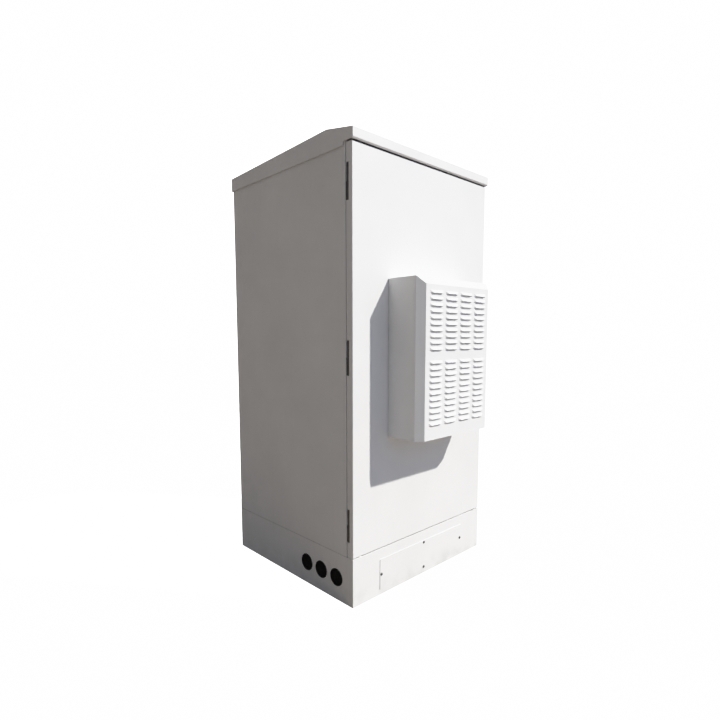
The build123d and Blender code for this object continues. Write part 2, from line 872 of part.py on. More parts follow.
# Outdoor half: divider, condenser, fan, compressor and pipes
divider_z = ac_base + divider_height
divider_front = ac_front + divider_front_gap + ac_bevel_depth
pipe_y = front_y - shelf_depth / 2
pipe_cut = 2 * (pipe_radius + spindle_room)
with BuildPart() as ac_divider:
    with BuildSketch(level(divider_z)):
        span(-fold_half, fold_half, divider_front, chassis_front)
        with Locations((compressor_shift - pipe_offset, pipe_y)):
            Rectangle(pipe_cut, pipe_cut, mode=Mode.SUBTRACT)
    extrude(amount=divider_sheet)
save(ac_divider, "ac_divider")


def coil(half, low_z, high_z, low_y, high_y, plate, rows):
    """Row of fins on level tubes between two end plates, in the open part."""
    fin_count = int((2 * half - 2 * plate) // fin_pitch)
    for sign in (-1, 1):
        with BuildSketch(side_plane(sign * half - (plate if sign > 0 else 0))) as profile:
            span(low_y, high_y, low_z, high_z)
        extrude(profile.sketch, amount=plate)
    for number in range(fin_count):
        start = (number - (fin_count - 1) / 2) * fin_pitch - fin_sheet / 2
        with BuildSketch(side_plane(start)) as profile:
            span(low_y, high_y, low_z, high_z)
        extrude(profile.sketch, amount=fin_sheet)
    with BuildSketch(side_plane(-half + plate)) as profile:
        with Locations(((low_y + high_y) / 2, (low_z + high_z) / 2)):
            with GridLocations(0, (high_z - low_z) / rows, 1, rows):
                Rectangle(2 * tube_radius, 2 * tube_radius)
    extrude(profile.sketch, amount=2 * half - 2 * plate)


coil_front = divider_front + coil_front_gap
coil_base = divider_z + divider_sheet
with BuildPart() as condenser_coil:
    coil(coil_half, coil_base, coil_base + coil_height, coil_front, coil_front + coil_depth, coil_plate, tube_rows)
    for sign in (-1, 1):
        with BuildSketch(side_plane(sign * coil_half - (coil_plate if sign > 0 else 0))):
            span(coil_front, chassis_front, coil_base, coil_base + coil_height)
        extrude(amount=coil_plate)
save(condenser_coil, "condenser_coil")


def fan_frame(middle_x, middle_z, front, back, size, posts_to):
    """Square fan frame with its round throat, motor plate, struts and shaft, in the open part."""
    throat = size / 2 - fan_rim
    with BuildSketch(front_plane(back)) as profile:
        with Locations((middle_x, middle_z)):
            Rectangle(size, size)
            Circle(throat, mode=Mode.SUBTRACT)
    extrude(profile.sketch, amount=back - front)
    with BuildSketch(front_plane(back)) as profile:
        with Locations((middle_x, middle_z)):
            Circle(fan_hub_radius)
            Rectangle(size - fan_rim, fan_strut)
            Rectangle(fan_strut, size - fan_rim)
    extrude(profile.sketch, amount=fan_back_plate)
    with BuildSketch(front_plane(back - fan_back_plate)) as profile:
        with Locations((middle_x, middle_z)):
            Circle(fan_shaft_radius)
    extrude(profile.sketch, amount=back - front - 2 * fan_back_plate)
    if posts_to > back:
        with BuildSketch(front_plane(posts_to)) as profile:
            with Locations((middle_x, middle_z)):
                post_pitch = size - fan_post
                with GridLocations(post_pitch, post_pitch, 2, 2):
                    Rectangle(fan_post, fan_post)
        extrude(profile.sketch, amount=posts_to - back)


def fan_rotor(middle_x, middle_z, front, back, size):
    """Hub on the fan shaft with pitched blades, in the open part."""
    root = fan_hub_radius * fan_root_share
    tip = size / 2 - fan_rim - fan_tip_gap
    rotor_back = back - fan_back_plate - fan_rotor_gap
    rotor_depth = rotor_back - front - fan_back_plate
    chord = rotor_depth * fan_blade_share
    middle = Vector(middle_x, rotor_back - rotor_depth / 2, middle_z)
    for number in range(fan_blades):
        turn = number * 360 / fan_blades
        spoke = Vector(1, 0, 0).rotate(Axis.Y, turn)
        tangent = Vector(0, 0, 1).rotate(Axis.Y, turn)
        with BuildSketch(Plane(origin=middle + spoke * root, x_dir=tangent, z_dir=spoke)) as profile:
            Rectangle(fan_blade_sheet, chord, rotation=fan_pitch)
        extrude(profile.sketch, amount=tip - root)
    with BuildSketch(front_plane(rotor_back)) as profile:
        with Locations((middle_x, middle_z)):
            Circle(fan_hub_radius)
    extrude(profile.sketch, amount=rotor_depth)
    with BuildSketch(front_plane(rotor_back)) as profile:
        with Locations((middle_x, middle_z)):
            Circle(fan_shaft_radius + fan_running_fit)
    extrude(profile.sketch, amount=rotor_depth, mode=Mode.SUBTRACT)


outdoor_fan_front = ac_front + outdoor_fan_front_gap
outdoor_fan_back = outdoor_fan_front + outdoor_fan_depth
outdoor_fan_z = chassis_base + outdoor_fan_base_gap + outdoor_fan_size / 2
with BuildPart() as condenser_fan_frame:
    fan_frame(
        outdoor_fan_shift,
        outdoor_fan_z,
        outdoor_fan_front,
        outdoor_fan_back,
        outdoor_fan_size,
        chassis_front,
    )
save(condenser_fan_frame, "condenser_fan_frame")

with BuildPart() as condenser_fan_rotor:
    fan_rotor(outdoor_fan_shift, outdoor_fan_z, outdoor_fan_front, outdoor_fan_back, outdoor_fan_size)
save(condenser_fan_rotor, "condenser_fan_rotor")

compressor_base = chassis_base + chassis_sheet
compressor_top = compressor_base + compressor_height
with BuildPart() as compressor:
    with BuildSketch(level(compressor_base)):
        with Locations((compressor_shift, pipe_y)):
            Circle(compressor_radius)
    extrude(amount=compressor_height)
    chamfer(compressor.faces().sort_by(Axis.Z)[-1].edges(), length=compressor_dome)
save(compressor, "compressor")

with BuildPart() as refrigerant_pipes:
    pipe_x = compressor_shift - pipe_offset
    with BuildLine():
        pipe_path = Polyline(
            (pipe_x, pipe_y, compressor_top),
            (pipe_x, pipe_y, compressor_top + pipe_rise),
            (coil_half - coil_plate, pipe_y, compressor_top + pipe_rise),
        )
    with BuildSketch(level(compressor_top)):
        with Locations((pipe_x, pipe_y)):
            Circle(pipe_radius)
    sweep(path=pipe_path, transition=Transition.RIGHT)
save(refrigerant_pipes, "refrigerant_pipes")

# Indoor half: case with its grilles, evaporator, blower and controller
evaporator_base = case_base + evaporator_base_gap
blower_z = case_top - indoor_fan_top_gap - indoor_fan_size / 2
with BuildPart() as ac_inner_case:
    with BuildSketch(front_plane(case_back)):
        span(-case_half, case_half, case_base, case_top)
    extrude(amount=case_depth)
    with BuildSketch(front_plane(case_back - case_sheet)):
        case_inside = case_half - case_sheet
        span(-case_inside, case_inside, case_base + case_sheet, case_top - case_sheet)
    extrude(amount=case_depth, mode=Mode.SUBTRACT)
    with BuildSketch(front_plane(case_back)):
        for height in (evaporator_base + evaporator_height / 2, blower_z):
            with Locations((0, height)):
                with GridLocations(case_slot_column_pitch, case_slot_pitch, 2, case_slots):
                    Rectangle(case_slot_length, case_slot_height)
    extrude(amount=case_sheet, mode=Mode.SUBTRACT)
save(ac_inner_case, "ac_inner_case")

evaporator_front = liner_back + evaporator_front_gap
with BuildPart() as evaporator_coil:
    coil(
        case_inside,
        evaporator_base,
        evaporator_base + evaporator_height,
        evaporator_front,
        evaporator_front + evaporator_depth,
        coil_plate,
        tube_rows,
    )
save(evaporator_coil, "evaporator_coil")

blower_back = case_back - case_sheet
blower_front = blower_back - indoor_fan_depth
with BuildPart() as blower_frame:
    fan_frame(0, blower_z, blower_front, blower_back, indoor_fan_size, blower_back)
save(blower_frame, "blower_frame")

with BuildPart() as blower_rotor:
    fan_rotor(0, blower_z, blower_front, blower_back, indoor_fan_size)
save(blower_rotor, "blower_rotor")

with BuildPart() as ac_controller:
    controller_base = case_top + controller_gap
    with BuildSketch(front_plane(liner_back + controller_depth)):
        span(-case_half, controller_width - case_half, controller_base, controller_base + controller_height)
    extrude(amount=controller_depth)
    chamfer(ac_controller.faces().sort_by(Axis.Y)[-1].edges(), length=controller_depth / 6)
save(ac_controller, "ac_controller")

# Rack: four slotted rails on brackets from the side panels, and a shelf
rail_base = body_base + rail_end_gap
rail_top = body_top - rail_end_gap
hole_start = (rail_base + rail_top) / 2
for row_name, face, backward in (("front", rail_front, 1), ("rear", rail_rear, -1)):
    for side_name, sign in (("left", -1), ("right", 1)):
        with BuildPart() as rack_rail:
            with BuildSketch(level(rail_base)):
                inner_edge = sign * rack_opening / 2
                outer_edge = sign * rail_outer
                outline = [(inner_edge, face), (outer_edge, face), (outer_edge, face + backward * rail_leg)]
                folded(outline, rail_sheet, Side.RIGHT if sign * backward < 0 else Side.LEFT)
            extrude(amount=rail_top - rail_base)
            with BuildSketch(front_plane(max(face, face + backward * rail_sheet))):
                with Locations((sign * rack_hole_spacing / 2, hole_start)):
                    with GridLocations(0, rail_hole_pitch, 1, rail_hole_count):
                        Rectangle(rail_hole, rail_hole)
            extrude(amount=rail_sheet, mode=Mode.SUBTRACT)
        save(rack_rail, "rack_rail_" + row_name + "_" + side_name)

bracket_levels = (
    rail_base + bracket_end_inset,
    (rail_base + rail_top) / 2,
    rail_top - bracket_end_inset,
)
for sign, side, name in ((-1, Side.RIGHT, "left_rail_brackets"), (1, Side.LEFT, "right_rail_brackets")):
    with BuildPart() as rail_brackets:
        for height in bracket_levels:
            with BuildSketch(front_plane(rail_rear)):
                foot = height - bracket_height
                wall_x = sign * inner_half
                rail_x = sign * rail_outer
                outline = [(wall_x, foot), (wall_x, height), (rail_x, height), (rail_x, foot)]
                folded(outline, bracket_sheet, side)
            extrude(amount=rail_rear - rail_front)
    save(rail_brackets, name)

shelf_z = body_base + body_height * shelf_share
shelf_front = rail_front + rail_sheet
shelf_back = rail_rear - rail_sheet
with BuildPart() as equipment_shelf:
    with BuildSketch(front_plane(shelf_back)):
        shelf_half = rail_outer - rail_sheet
        lip_z = shelf_z - rack_shelf_lip
        outline = [(-shelf_half, lip_z), (-shelf_half, shelf_z), (shelf_half, shelf_z), (shelf_half, lip_z)]
        folded(outline, rack_shelf_sheet, Side.RIGHT)
    extrude(amount=shelf_back - shelf_front)
    with BuildSketch(level(shelf_z)):
        with Locations((0, (shelf_front + shelf_back) / 2)):
            with GridLocations(shelf_slot_pitch_x, shelf_slot_pitch_y, shelf_slot_columns, shelf_slot_rows):
                Rectangle(shelf_slot_length, shelf_slot_width)
    extrude(amount=-rack_shelf_sheet, mode=Mode.SUBTRACT)
save(equipment_shelf, "equipment_shelf")

# Earth bar on its insulators, low on the left side panel
earth_z = body_base + body_height * bar_share
with BuildPart() as ground_bar_insulators:
    with BuildSketch(side_plane(-inner_half)):
        with Locations((0, earth_z)):
            with GridLocations(insulator_spacing, 0, 2, 1):
                RegularPolygon(insulator_radius, 6)
    extrude(amount=insulator_length)
save(ground_bar_insulators, "ground_bar_insulators")

with BuildPart() as ground_bar:
    with BuildSketch(side_plane(-inner_half + insulator_length)):
        with Locations((0, earth_z)):
            Rectangle(bar_length, bar_height)
            with GridLocations(bar_hole_pitch, 0, bar_holes, 1):
                Circle(bar_hole_radius, mode=Mode.SUBTRACT)
    extrude(amount=bar_stock)
save(ground_bar, "ground_bar")
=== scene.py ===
# %% [markdown]
# # A roadside equipment cabinet, dressed for its picture
# The cabinet's sheet metal, door, hinges and cooling unit arrive as solids with real sizes.
# This lesson gives each of them its finish, adds the small pressed and moulded pieces that
# solids leave out, and sets the camera and light of the picture.

# %% Load the frame
import bmesh
import bpy
import json
import numpy as np
from mathutils import Matrix, Vector


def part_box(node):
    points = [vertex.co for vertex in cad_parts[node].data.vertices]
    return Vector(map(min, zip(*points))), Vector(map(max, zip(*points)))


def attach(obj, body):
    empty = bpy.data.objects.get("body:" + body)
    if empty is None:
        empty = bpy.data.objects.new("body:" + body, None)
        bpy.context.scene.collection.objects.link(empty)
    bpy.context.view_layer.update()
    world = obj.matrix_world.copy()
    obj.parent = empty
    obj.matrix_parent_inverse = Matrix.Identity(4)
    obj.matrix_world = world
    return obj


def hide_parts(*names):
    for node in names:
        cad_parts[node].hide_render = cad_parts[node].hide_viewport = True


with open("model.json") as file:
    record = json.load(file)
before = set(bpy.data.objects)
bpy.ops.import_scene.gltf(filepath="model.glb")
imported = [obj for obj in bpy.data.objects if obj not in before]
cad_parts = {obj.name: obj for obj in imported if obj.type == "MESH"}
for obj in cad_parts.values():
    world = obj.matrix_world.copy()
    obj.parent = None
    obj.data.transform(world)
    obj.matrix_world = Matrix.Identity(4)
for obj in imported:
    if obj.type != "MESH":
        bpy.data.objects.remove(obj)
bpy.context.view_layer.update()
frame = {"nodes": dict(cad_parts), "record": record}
slots = {entry["node"]: entry["material_slot"] for entry in frame["record"]["subparts"]}

# %% [markdown]
# ## A way to write materials
# Every finish here is a small node tree on a Principled shader. Patterns read Object
# coordinates, which are metres in the cabinet's own frame, so a grain of one millimetre needs
# a texture scale of about a thousand. Each helper adds one step to a tree, and hands back the
# socket that the next step reads.

# %% Material helpers
def new_finish(name):
    """A material with its shader, and the Object coordinates that its patterns read."""
    material = bpy.data.materials.new(name)
    material.use_nodes = True
    tree = material.node_tree
    shader = tree.nodes["Principled BSDF"]
    place = tree.nodes.new("ShaderNodeTexCoord")
    return material, tree, shader, place.outputs["Object"]


def noise(tree, place, scale, detail=4.0, stretch=(1.0, 1.0, 1.0)):
    """Smooth random values from 0 to 1, about 1/scale metres across, stretched per axis."""
    mapping = tree.nodes.new("ShaderNodeMapping")
    mapping.inputs["Scale"].default_value = stretch
    texture = tree.nodes.new("ShaderNodeTexNoise")
    texture.inputs["Scale"].default_value = scale
    texture.inputs["Detail"].default_value = detail
    tree.links.new(place, mapping.inputs["Vector"])
    tree.links.new(mapping.outputs["Vector"], texture.inputs["Vector"])
    return texture.outputs["Fac"]


def ramp(tree, value, stops):
    """Colours along a value: stops are (position, colour) pairs."""
    node = tree.nodes.new("ShaderNodeValToRGB")
    for element, (position, colour) in zip(node.color_ramp.elements, stops):
        element.position = position
        element.color = (*colour, 1.0)
    tree.links.new(value, node.inputs["Fac"])
    return node.outputs["Color"]


def spread(tree, value, span):
    """A 0 to 1 value moved to the range that span gives."""
    node = tree.nodes.new("ShaderNodeMapRange")
    node.inputs["To Min"].default_value, node.inputs["To Max"].default_value = span
    tree.links.new(value, node.inputs["Value"])
    return node.outputs["Result"]


def bump(tree, shader, height, strength, distance):
    """Tilts the surface by a height pattern; distance is the pattern's depth in metres."""
    node = tree.nodes.new("ShaderNodeBump")
    node.inputs["Strength"].default_value = strength
    node.inputs["Distance"].default_value = distance
    tree.links.new(height, node.inputs["Height"])
    tree.links.new(node.outputs["Normal"], shader.inputs["Normal"])


def lay_over(tree, amount, under, colour):
    """A colour laid over what is under it, by an amount from 0 to 1."""
    node = tree.nodes.new("ShaderNodeMix")
    node.data_type = "RGBA"
    tree.links.new(amount, node.inputs["Factor"])
    tree.links.new(under, node.inputs["A"])
    node.inputs["B"].default_value = (*colour, 1.0)
    return node.outputs["Result"]


# %% [markdown]
# ## White powder coat
# The shell is sheet steel with a baked white powder coat. Powder melts into a skin like fine
# orange peel, so the shine is soft and slightly broken. Out of doors it greys a little, faint
# runs of rain mark it downwards, and road dirt splashes the lowest hand's breadth. The runs are
# a noise stretched along the height, and the splash is a noise that fades out with height.

# %% White powder coat
coat_clouds = 3.0
coat_whites = ((0.3, (0.80, 0.80, 0.79)), (0.7, (0.86, 0.86, 0.85)))
coat_roughness = (0.42, 0.52)
rain_runs = 40.0
rain_stretch = (1.0, 1.0, 0.03)
rain_amounts = ((0.62, (0.0, 0.0, 0.0)), (0.85, (0.10, 0.10, 0.10)))
rain_grey = (0.55, 0.55, 0.53)
splash_top = 0.085
splash_most = 0.6
splash_patches = 14.0
splash_detail = 6.0
splash_amounts = ((0.46, (0.0, 0.0, 0.0)), (0.74, (0.6, 0.6, 0.6)))
splash_brown = (0.36, 0.35, 0.33)
peel_grain = 420.0
peel_detail = 2.0
peel_strength = 0.10
peel_depth = 0.0004


def powder_coat():
    """White skin, faint vertical rain marks, and dirt that fades upwards from the ground."""
    material, tree, shader, place = new_finish("white_powder_coat")
    clouds = noise(tree, place, coat_clouds)
    rain = ramp(tree, noise(tree, place, rain_runs, stretch=rain_stretch), rain_amounts)
    rained = lay_over(tree, rain, ramp(tree, clouds, coat_whites), rain_grey)
    split = tree.nodes.new("ShaderNodeSeparateXYZ")
    tree.links.new(place, split.inputs["Vector"])
    lowness = tree.nodes.new("ShaderNodeMapRange")
    lowness.inputs["From Min"].default_value = splash_top
    lowness.inputs["From Max"].default_value = 0.0
    lowness.inputs["To Max"].default_value = splash_most
    tree.links.new(split.outputs["Z"], lowness.inputs["Value"])
    splash = tree.nodes.new("ShaderNodeMath")
    splash.operation = "MULTIPLY"
    tree.links.new(lowness.outputs["Result"], splash.inputs[0])
    patches = noise(tree, place, splash_patches, splash_detail)
    tree.links.new(ramp(tree, patches, splash_amounts), splash.inputs[1])
    dirty = lay_over(tree, splash.outputs["Value"], rained, splash_brown)
    tree.links.new(dirty, shader.inputs["Base Color"])
    tree.links.new(spread(tree, clouds, coat_roughness), shader.inputs["Roughness"])
    bump(tree, shader, noise(tree, place, peel_grain, peel_detail), peel_strength, peel_depth)
    return material


finishes = {"white_coat": powder_coat()}
print("white coat nodes", len(finishes["white_coat"].node_tree.nodes))

# %% [markdown]
# ## Bare and plated metals
# Inside, plates are galvanised: zinc freezes in flakes a few millimetres wide, each with its
# own shade. A Voronoi texture gives flakes. Fixings have a dark zinc plate, the earth bar and
# pipes are copper, and the fins are plain aluminium. One builder serves them all.

# %% Metals
metal_grain = 300.0
metal_bump = 0.08
metal_bump_depth = 0.0003


def metal(name, dark, light, flakes, roughness):
    """Flakes of about 1/flakes metres, each a shade between dark and light."""
    material, tree, shader, place = new_finish(name)
    cells = tree.nodes.new("ShaderNodeTexVoronoi")
    cells.inputs["Scale"].default_value = flakes
    tree.links.new(place, cells.inputs["Vector"])
    split = tree.nodes.new("ShaderNodeSeparateColor")
    tree.links.new(cells.outputs["Color"], split.inputs["Color"])
    shade = split.outputs["Red"]
    shades = ((0.0, dark), (1.0, light))
    tree.links.new(ramp(tree, shade, shades), shader.inputs["Base Color"])
    tree.links.new(spread(tree, shade, roughness), shader.inputs["Roughness"])
    bump(tree, shader, noise(tree, place, metal_grain), metal_bump, metal_bump_depth)
    shader.inputs["Metallic"].default_value = 1.0
    return material


# Each row: slot, finish, darkest and lightest flake, flakes to a metre, roughness.
metals = (
    ("galvanised", "galvanised_sheet", (0.50, 0.52, 0.53), (0.66, 0.67, 0.68), 160.0,
     (0.36, 0.48)),
    ("dark_steel", "dark_zinc_plate", (0.10, 0.10, 0.10), (0.19, 0.18, 0.17), 500.0,
     (0.35, 0.55)),
    ("copper", "bare_copper", (0.55, 0.26, 0.15), (0.76, 0.42, 0.28), 220.0,
     (0.28, 0.45)),
    ("bare_aluminium", "aluminium_fins", (0.60, 0.61, 0.62), (0.80, 0.81, 0.82), 260.0,
     (0.30, 0.42)),
)
for slot, *values in metals:
    finishes[slot] = metal(*values)
print("metals", len(metals))

# %% [markdown]
# ## Rubber, plastic, foam and black coat
# These are dark and dull, and differ in grain: rubber is smooth with a bloom of dust and hardly
# any shine, moulded plastic has a fine spark texture, foam has open pores, and the coat on the
# lever is satin.

# %% Dull finishes
mottle_to_grain = 8.0
mottle_span = (0.3, 0.75)
dull_bump = 0.25


def dull(name, dark, light, grain, roughness, depth, shine):
    """A soft mottle between two shades, with a grain of about 1/grain metres."""
    material, tree, shader, place = new_finish(name)
    mottle = noise(tree, place, grain / mottle_to_grain)
    shades = tuple(zip(mottle_span, (dark, light)))
    tree.links.new(ramp(tree, mottle, shades), shader.inputs["Base Color"])
    tree.links.new(spread(tree, mottle, roughness), shader.inputs["Roughness"])
    bump(tree, shader, noise(tree, place, grain), dull_bump, depth)
    shader.inputs["Specular IOR Level"].default_value = shine
    return material


# Each row: slot, finish, darkest and lightest shade, grains to a metre,
# roughness, grain depth, shine.
dulls = (
    ("black_rubber", "black_rubber", (0.002, 0.002, 0.002), (0.006, 0.006, 0.007), 900.0,
     (0.6, 0.8), 0.0002, 0.2),
    ("dark_plastic", "moulded_plastic", (0.018, 0.019, 0.021), (0.034, 0.035, 0.038), 1500.0,
     (0.4, 0.55), 0.0002, 0.5),
    ("foam", "insulating_foam", (0.20, 0.20, 0.19), (0.34, 0.34, 0.32), 500.0,
     (0.85, 0.95), 0.0008, 0.5),
    ("black_coat", "black_satin_coat", (0.012, 0.012, 0.013), (0.026, 0.026, 0.028), 700.0,
     (0.32, 0.45), 0.0002, 0.5),
)
for slot, *values in dulls:
    finishes[slot] = dull(*values)
for node, slot in slots.items():
    frame["nodes"][node].data.materials.clear()
    frame["nodes"][node].data.materials.append(finishes[slot])
print("finishes", len(finishes), "on nodes", len(slots))

# %% [markdown]
# ## Surfaces from numbers
# A new piece is a grid of points worked out at once with numpy. The helper joins neighbours
# into four-sided faces, closes the grid where it meets itself, welds the points that fall
# together at a pole, and hangs the piece on the body that carries it. Edges that turn by more
# than a set angle stay crisp, and the rest shade smoothly.

# %% Grid helper
weld_reach = 1e-6
crisp_turn = np.radians(40.0)


def grid_faces(rows, columns, close_rows, close_columns):
    """Corner numbers of the quads between neighbouring grid points."""
    row = np.arange(rows if close_rows else rows - 1)[:, None]
    column = np.arange(columns if close_columns else columns - 1)[None, :]
    next_row = (row + 1) % rows
    next_column = (column + 1) % columns
    corners = (
        row * columns + column,
        next_row * columns + column,
        next_row * columns + next_column,
        row * columns + next_column,
    )
    return np.stack(np.broadcast_arrays(*corners), axis=-1).reshape(-1, 4)


def piece(name, grids, body, slot, close_rows=False, close_columns=False):
    """One mesh from grids of points shaped (rows, columns, 3), welded and riding a body."""
    points = []
    faces = []
    start = 0
    for grid in grids:
        rows, columns = grid.shape[:2]
        faces.append(grid_faces(rows, columns, close_rows, close_columns) + start)
        points.append(grid.reshape(-1, 3))
        start += rows * columns
    mesh = bpy.data.meshes.new(name)
    mesh.from_pydata(np.concatenate(points).tolist(), [], np.concatenate(faces).tolist())
    weld = bmesh.new()
    weld.from_mesh(mesh)
    bmesh.ops.remove_doubles(weld, verts=weld.verts, dist=weld_reach)
    bmesh.ops.recalc_face_normals(weld, faces=weld.faces)
    weld.to_mesh(mesh)
    weld.free()
    mesh.polygons.foreach_set("use_smooth", np.ones(len(mesh.polygons), dtype=bool))
    mesh.set_sharp_from_angle(angle=crisp_turn)
    mesh.materials.append(finishes[slot])
    made = bpy.data.objects.new(name, mesh)
    bpy.context.collection.objects.link(made)
    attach(made, body)
    print(name, "faces", len(mesh.polygons))
    return made


def corners_of(node):
    """Lowest and highest corner of a node's box, as arrays."""
    low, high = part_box(node)
    return np.array(low), np.array(high)


# %% [markdown]
# ## Grommets in the plinth
# Each cable hole holds a black rubber grommet: a neck through the sheet, a rounded lip outside,
# and inside the lip a thin membrane with ring ridges where a fitter cuts it to the cable. It is
# round all over, so a profile of radius against height is turned about the hole's axis.

# %% Grommets
grommet_count = 3
grommet_lip = 0.004
lip_width = 0.0046
lip_steps = 13
membrane_sink = 0.0006
membrane_steps = 48
ridge_height = 0.0005
ridge_count = 4
turn_steps = 64
grommet_low, grommet_high = corners_of("cable_grommets")
plinth_face = corners_of("plinth_left_side")[0][0]
lip_radius = (grommet_high[2] - grommet_low[2]) / 2
lip_height = plinth_face - grommet_low[0]
neck_radius = lip_radius - grommet_lip
neck_depth = grommet_high[0] - plinth_face


def grommet_profile():
    """Back of the neck, its wall, a half-round lip, then ridges as a cosine of the radius."""
    neck_r = np.array([0.0, neck_radius, neck_radius])
    neck_h = np.array([-neck_depth, -neck_depth, 0.0])
    turn = np.linspace(0.0, np.pi, lip_steps)
    lip_r = lip_radius - lip_width / 2 + np.cos(turn) * lip_width / 2
    lip_h = np.sin(turn) * lip_height
    inward_r = np.linspace(lip_radius - lip_width, 0.0, membrane_steps)
    wave = np.cos(inward_r / lip_radius * 2 * np.pi * ridge_count)
    inward_h = ridge_height * wave - membrane_sink
    radii = np.concatenate([neck_r, lip_r, inward_r])
    heights = np.concatenate([neck_h, lip_h, inward_h])
    return radii, heights


def turned_profile(radii, heights, centre, axis, side):
    """Ring of points: centre + height along axis + radius round it, for every profile point."""
    angle = np.linspace(0.0, 2 * np.pi, turn_steps, endpoint=False)[:, None]
    axis = np.array(axis, dtype=float)
    side = np.array(side, dtype=float)
    round_it = np.cos(angle) * side + np.sin(angle) * np.cross(axis, side)
    return centre + heights[:, None, None] * axis + radii[:, None, None] * round_it[None]


grommet_z = (grommet_low[2] + grommet_high[2]) / 2
grommet_first = grommet_low[1] + lip_radius
grommet_last = grommet_high[1] - lip_radius
radii, heights = grommet_profile()
grommets = [
    turned_profile(radii, heights, np.array([plinth_face, y, grommet_z]), (-1, 0, 0), (0, 1, 0))
    for y in np.linspace(grommet_first, grommet_last, grommet_count)
]
turned_grommets = piece(
    "turned_grommets", grommets, "cabinet", "black_rubber", close_columns=True
)
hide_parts("cable_grommets")

# %% [markdown]
# ## Screw heads
# Screws hold the plinth cover, the back panel and the cooling unit's cover. A head is a low
# dome with a cross recess, so it is a height over a round grid: the dome falls off towards its
# rim, and the cross is sunk wherever a point lies close to one of the two arms. A rim wall and a
# flat underside close it.

# %% Screw heads
head_radius = 0.0056
head_rise = 0.0029
dome_fall = 0.7
dome_power = 4
recess_depth = 0.0014
recess_arm = 0.16
recess_arm_slope = 0.06
recess_reach = 0.62
recess_end_slope = 0.1
head_rings = 15
head_steps = 48


def screw_head(spot, across, outward):
    """Dome: rise times 1 - fall x radius to a power, less a cross near its two arms."""
    radius = np.linspace(0.0, 1.0, head_rings)[:, None]
    angle = np.linspace(0.0, 2 * np.pi, head_steps, endpoint=False)[None, :]
    along = radius * np.cos(angle)
    aside = radius * np.sin(angle)
    from_arm = np.minimum(np.abs(along), np.abs(aside))
    cross = np.clip((recess_arm - from_arm) / recess_arm_slope, 0.0, 1.0)
    cross = cross * np.clip((recess_reach - radius) / recess_end_slope, 0.0, 1.0)
    height = head_rise * (1.0 - dome_fall * radius**dome_power) - recess_depth * cross
    foot = np.zeros((1, head_steps))
    height = np.concatenate([height, foot, foot])
    along = np.concatenate([along, along[-1:], foot]) * head_radius
    aside = np.concatenate([aside, aside[-1:], foot]) * head_radius
    across = np.array(across, dtype=float)
    outward = np.array(outward, dtype=float)
    upright = np.cross(outward, across)
    flat = along[..., None] * across + aside[..., None] * upright
    return np.array(spot) + flat + height[..., None] * outward


# %% [markdown]
# ## Where the screws sit
# The solids have plain hexagon heads at the same places. The box round a group of heads, drawn
# in by half a head, gives the outermost centres, and the face of the sheet gives the height.

# %% Screws in place
solid_head = 0.005
solid_flat = solid_head * np.sqrt(3.0) / 2
back_rows = 5


def outer_heads(node, half):
    """Lowest and highest head centre of a group of screws: its box less half a head."""
    low, high = corners_of(node)
    return low + np.array(half), high - np.array(half)


low, high = outer_heads("plinth_cover_screws", (solid_head, 0.0, solid_flat))
middle = (low + high) / 2
cover_face = corners_of("plinth_cover")[0][1]
cover_spots = (
    (low[0], middle[2]),
    (high[0], middle[2]),
    (middle[0], high[2]),
    (middle[0], low[2]),
)
heads = [screw_head((x, cover_face, z), (1, 0, 0), (0, -1, 0)) for x, z in cover_spots]
cover_heads = piece("cover_screw_heads", heads, "cabinet", "dark_steel", close_columns=True)
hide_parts("plinth_cover_screws")

low, high = outer_heads("back_panel_screws", (solid_head, 0.0, solid_flat))
back_face = corners_of("back_panel")[1][1]
back_heights = np.linspace(low[2], high[2], back_rows)
back_spots = [(x, z) for z in back_heights for x in (low[0], high[0])]
heads = [screw_head((x, back_face, z), (-1, 0, 0), (0, 1, 0)) for x, z in back_spots]
back_heads = piece("back_screw_heads", heads, "cabinet", "dark_steel", close_columns=True)
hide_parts("back_panel_screws")

low, high = outer_heads("ac_cover_screws", (solid_head, solid_flat, 0.0))
unit_low, unit_high = corners_of("ac_cover")
unit_sides = ((unit_high[2], 1), (unit_low[2], -1))
unit_spots = [(x, z, way) for x in (low[0], high[0]) for z, way in unit_sides]
heads = [screw_head((x, low[1], z), (way, 0, 0), (0, 0, way)) for x, z, way in unit_spots]
unit_heads = piece("unit_screw_heads", heads, "door", "dark_steel", close_columns=True)
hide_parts("ac_cover_screws")

# %% [markdown]
# ## Door seal
# A hollow rubber seal runs round the inside of the door and squeezes on the frame. Its section
# is a D: flat where it is glued to the door, round towards the frame. The section is carried
# round a rectangle with rounded corners, each point moved along the rectangle's own normal.

# %% Door seal
seal_width = 0.014
seal_corner = 0.02
seal_corner_steps = 12
seal_round_steps = 15
seal_glue_share = 0.6
seal_low, seal_high = corners_of("door_gasket")
seal_depth = seal_high[1] - seal_low[1]


def rounded_loop(half_width, half_height, corner, steps):
    """Points and outward normals of a rounded rectangle: four arcs joined by straight runs."""
    turn = np.linspace(0.0, np.pi / 2, steps)
    angles = np.concatenate([turn + quarter * np.pi / 2 for quarter in range(4)])
    normals = np.stack([np.cos(angles), np.sin(angles)], axis=-1)
    signs = np.repeat(np.array([(1, 1), (-1, 1), (-1, -1), (1, -1)]), steps, axis=0)
    centres = signs * np.array([half_width - corner, half_height - corner])
    return centres + normals * corner, normals


